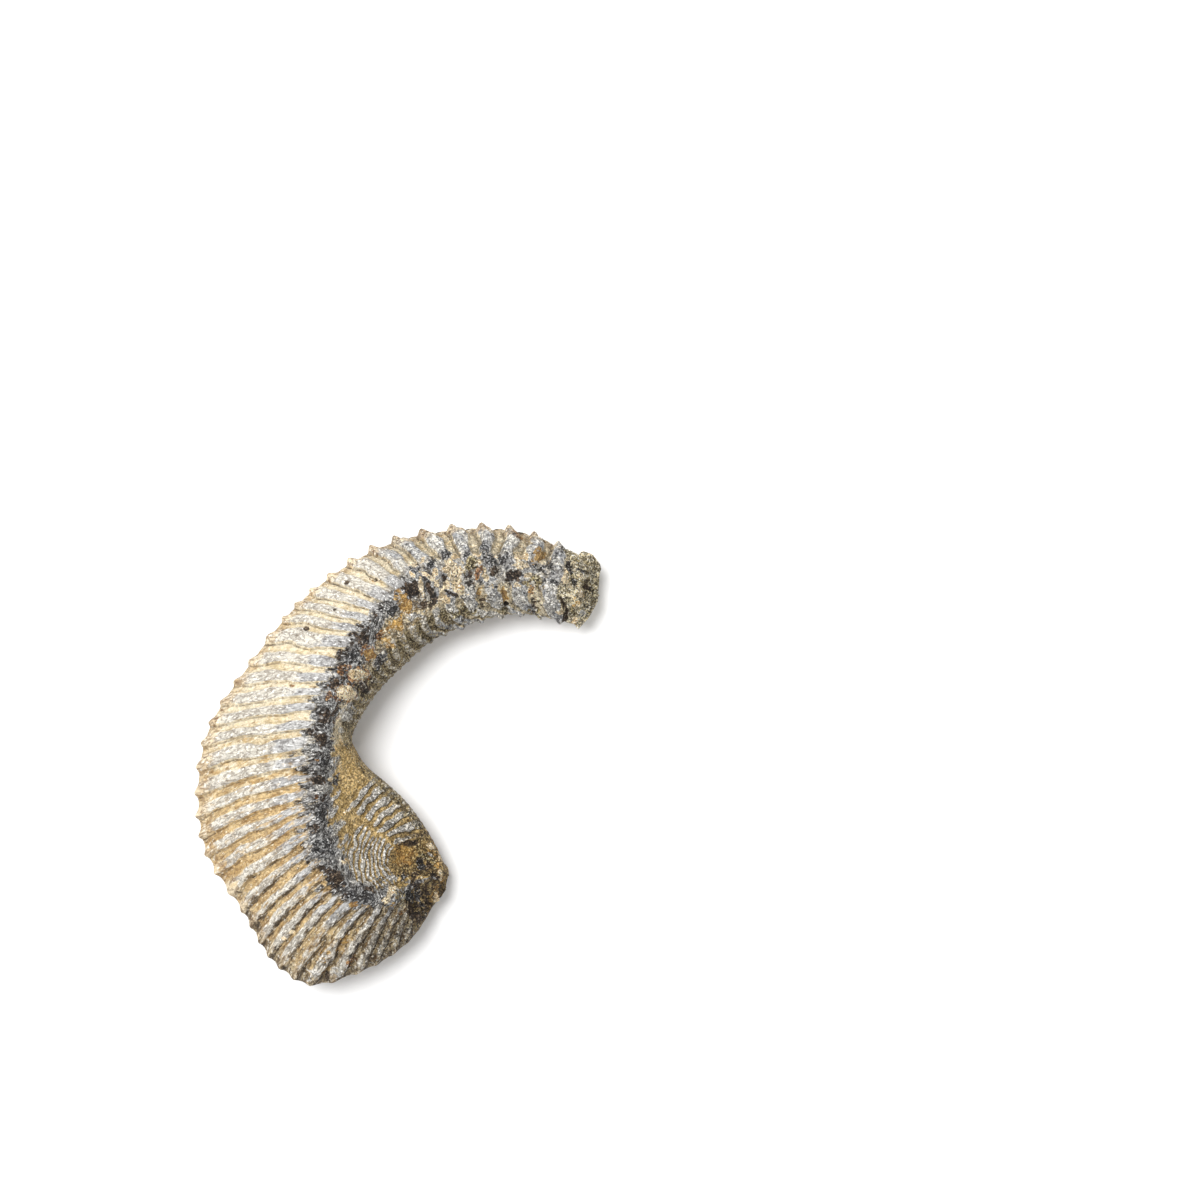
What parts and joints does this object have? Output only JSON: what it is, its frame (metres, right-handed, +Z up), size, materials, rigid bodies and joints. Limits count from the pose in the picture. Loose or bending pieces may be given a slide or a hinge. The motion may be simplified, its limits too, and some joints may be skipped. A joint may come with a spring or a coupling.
{
  "type": "zipper oyster fossil",
  "caption": "C-shaped fossil oyster with sharp cross ribs and valves interlocked along a zigzag seam, lying on its worn keel.",
  "frame": {"origin": "middle of the bounding box at its base, on the surface the fossil lies on", "axes": "+Z up from the surface it lies on, through the upper valve; +Y along the length, towards the side of the broken tip; +X towards the open side of the crescent"},
  "size_m": [0.09, 0.1026, 0.0274],
  "materials": {
    "upper_shell": "dull fossil shell, grey-white ribs with cream grooves, a charcoal crest and ochre inside the curl",
    "lower_shell": "dull fossil shell, tan and grey ribs, worn smooth along the keel"
  },
  "bodies": {
    "root": {"upper_valve": "upper_shell", "lower_valve": "lower_shell"}
  },
  "joints": []
}
